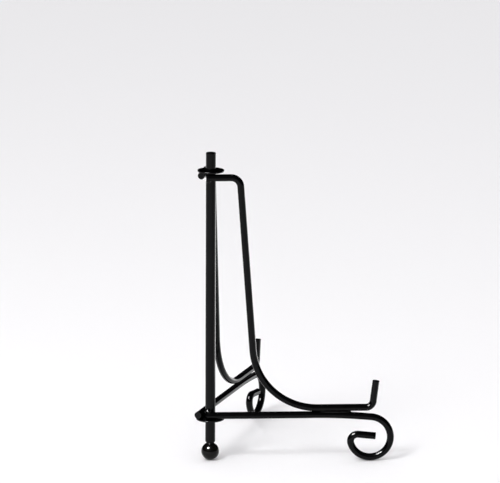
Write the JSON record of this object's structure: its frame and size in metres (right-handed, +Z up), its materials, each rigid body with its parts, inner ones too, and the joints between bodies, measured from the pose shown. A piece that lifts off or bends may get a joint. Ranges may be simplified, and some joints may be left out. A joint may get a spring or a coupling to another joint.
{
  "type": "tabletop easel",
  "caption": "Folding iron wire display easel: centre post on a ball foot, side frames with upturned ledges and scroll feet, the right frame swinging on washers round the post.",
  "frame": {"origin": "the centre of the post where its ball foot touches the table", "axes": "+Z up the post, -Y towards the displayed picture, +X towards the swinging right frame"},
  "size_m": [0.1406, 0.1054, 0.2002],
  "materials": {
    "post_lacquer": "gloss black lacquer over drawn iron rod",
    "wire_lacquer": "gloss black lacquer over bent iron wire",
    "ball_lacquer": "gloss black lacquer over a steel ball",
    "washer_lacquer": "gloss black lacquer over a flat washer",
    "weld_lacquer": "gloss black lacquer over a weld bead"
  },
  "bodies": {
    "post_and_left_frame": {"centre_post": "post_lacquer", "ball_foot": "ball_lacquer", "ball_weld": "weld_lacquer", "left_back_wire": "wire_lacquer", "left_foot_wire": "wire_lacquer", "left_ledge_weld": "weld_lacquer", "upper_post_weld": "weld_lacquer", "lower_post_weld": "weld_lacquer"},
    "right_frame": {"right_back_wire": "wire_lacquer", "right_foot_wire": "wire_lacquer", "right_ledge_weld": "weld_lacquer", "upper_hinge_washer": "washer_lacquer", "lower_hinge_washer": "washer_lacquer", "upper_washer_weld": "weld_lacquer", "lower_washer_weld": "weld_lacquer"}
  },
  "joints": [
    {"name": "right_frame_swing", "type": "hinge", "parent": "post_and_left_frame", "child": "right_frame", "pos_m": [0, 0, 0.11], "axis": [0, 0, 1], "range_deg": [-67, 13]}
  ]
}
